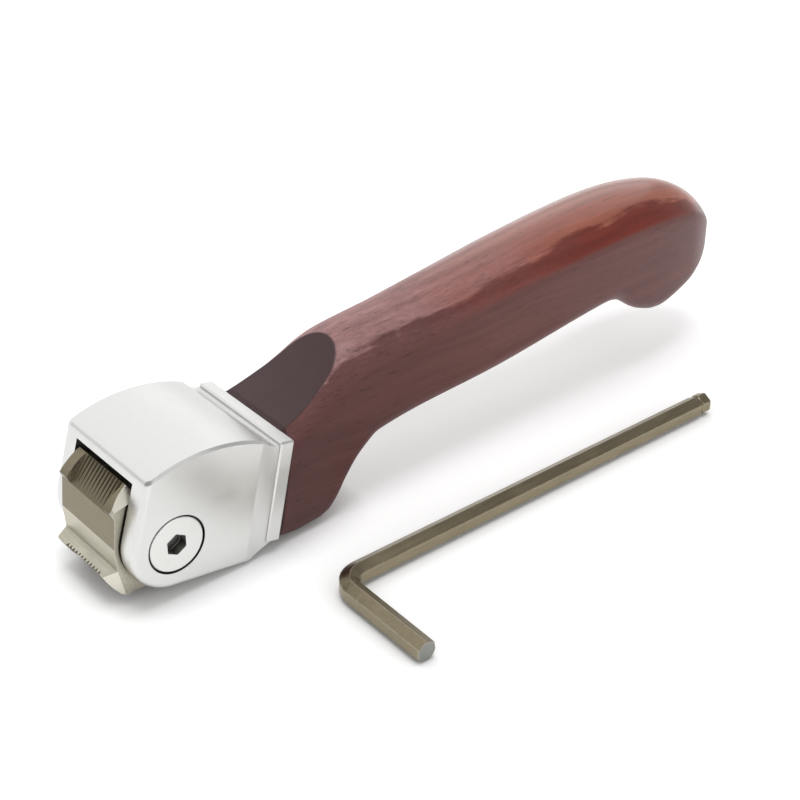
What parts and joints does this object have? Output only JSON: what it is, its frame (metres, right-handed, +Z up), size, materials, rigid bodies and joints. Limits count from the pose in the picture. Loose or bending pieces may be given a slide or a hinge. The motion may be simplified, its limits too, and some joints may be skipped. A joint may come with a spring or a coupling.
{
  "type": "cross hatch cutter",
  "caption": "Adhesion test cutter with a toothed indexing wheel in a fork-shaped metal head, a flush clamp screw, a shaped wooden handle and a loose hex key.",
  "frame": {"origin": "on the surface that the tool rests on, straight below the middle of the cutter's axle", "axes": "+X from the cutter to the handle's tail, +Z up, -Y towards the clamp screw and the loose key"},
  "size_m": [0.1645, 0.0703, 0.0396],
  "materials": {
    "nickel_steel": "satin nickel plate",
    "cutter_steel": "ground hardened steel",
    "screw_steel": "satin plated",
    "sleeve_steel": "ground",
    "dark_steel": "dark nickel",
    "washer_brass": "plain",
    "insert_brass": "plain",
    "rosewood": "lacquered"
  },
  "bodies": {
    "tool": {"head_housing": "nickel_steel", "clamp_nut": "screw_steel", "axle_sleeve": "sleeve_steel", "near_thrust_washer": "washer_brass", "far_thrust_washer": "washer_brass", "handle_stud": "sleeve_steel", "stud_set_screw": "dark_steel", "handle_insert": "insert_brass", "near_locating_pin": "sleeve_steel", "far_locating_pin": "sleeve_steel", "handle": "rosewood"},
    "cutter": {"cutter_wheel": "cutter_steel"},
    "screw": {"clamp_screw": "screw_steel"},
    "key": {"hex_key": "dark_steel"}
  },
  "joints": [
    {"name": "cutter_turn", "type": "hinge", "parent": "tool", "child": "cutter", "pos_m": [0, 0, 0.01228], "axis": [0, 1, 0], "continuous": true},
    {"name": "screw_turn", "type": "hinge", "parent": "tool", "child": "screw", "pos_m": [0, -0.01375, 0.01228], "axis": [0, -1, 0], "range_deg": [0, 720]},
    {"name": "key_lift", "type": "slide", "parent": "tool", "child": "key", "axis": [0, 0, 1], "range_m": [0, 0.08]}
  ]
}
